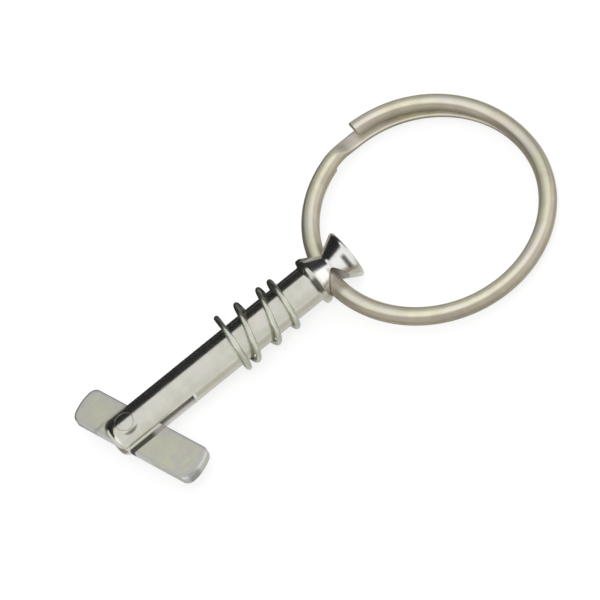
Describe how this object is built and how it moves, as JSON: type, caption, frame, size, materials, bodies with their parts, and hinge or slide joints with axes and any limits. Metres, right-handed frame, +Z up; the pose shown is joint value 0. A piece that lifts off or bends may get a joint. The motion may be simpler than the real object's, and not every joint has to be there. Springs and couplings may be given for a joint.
{
  "type": "clevis pin",
  "caption": "Quick-release clevis pin with a forked nose and a swinging toggle on a rivet, a loose conical spring on the shank, and a split ring through a grooved spool head.",
  "frame": {"origin": "on the shank's axis, in the plane of the head's flat underside", "axes": "+X along the shank towards the head's outer end, +Z up along the rivet, and +Y along the cross hole in the head"},
  "size_m": [0.083, 0.0411, 0.0099],
  "materials": {
    "pin_steel": "fine-turned bright plate",
    "toggle_steel": "satin, tumbled edges",
    "rivet_steel": "ground flush with the shank",
    "spring_wire": "drawn wire",
    "ring_plate": "warm nickel plate"
  },
  "bodies": {
    "pin": {"pin_body": "pin_steel", "rivet": "rivet_steel"},
    "toggle_plate": {"toggle": "toggle_steel"},
    "loose_spring": {"spring": "spring_wire"},
    "ring": {"split_ring": "ring_plate"}
  },
  "joints": [
    {"name": "toggle_swing", "type": "hinge", "parent": "pin", "child": "toggle_plate", "pos_m": [-0.0361, 0, 0], "axis": [0, 0, 1], "range_deg": [-255.5, 38.5]},
    {"name": "ring_swing", "type": "hinge", "parent": "pin", "child": "ring", "pos_m": [0.0032, 0, 0], "axis": [0, 1, 0], "range_deg": [-176.7, 167]},
    {"name": "spring_slide", "type": "slide", "parent": "pin", "child": "loose_spring", "axis": [1, 0, 0], "range_m": [-0.0059, 0.0042]}
  ]
}
